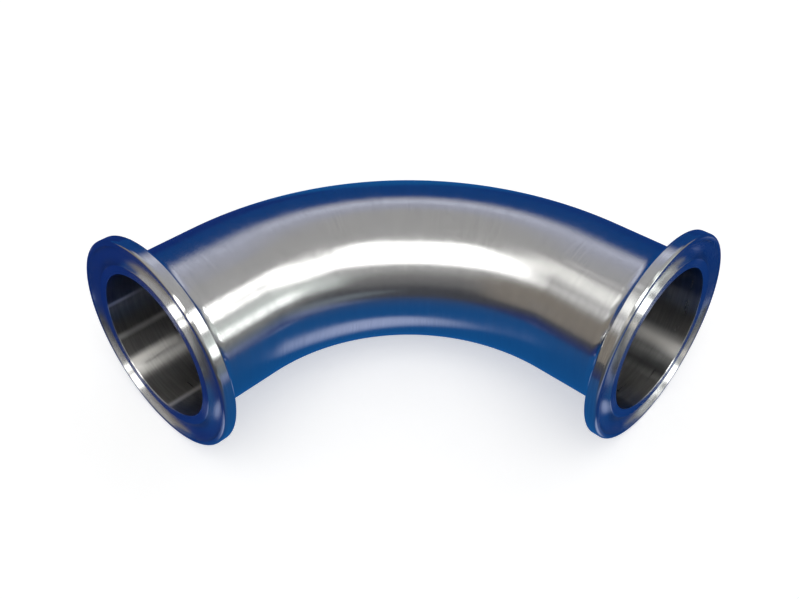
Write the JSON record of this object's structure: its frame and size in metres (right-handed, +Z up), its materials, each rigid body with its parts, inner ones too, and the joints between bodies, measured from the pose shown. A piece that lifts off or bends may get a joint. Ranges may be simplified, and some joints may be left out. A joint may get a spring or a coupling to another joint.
{
  "type": "sanitary pipe bend",
  "caption": "Stainless 90 degree sanitary tube bend with a clamp ferrule at each end for joining hygienic pipework.",
  "frame": {"origin": "on the floor under the middle of the bend's overall box, as it lies at rest", "axes": "+Z up, +X from the left port to the right one, and both ports open towards -Y, tipped up 8 degrees"},
  "size_m": [0.1464, 0.0682, 0.0503],
  "materials": {
    "tube_steel": "satin, brushed round the tube, with a darker machined bore",
    "ferrule_steel": "turned and polished bright"
  },
  "bodies": {
    "root": {"bend_tube": "tube_steel", "ferrule_left": "ferrule_steel", "ferrule_right": "ferrule_steel"}
  },
  "joints": []
}
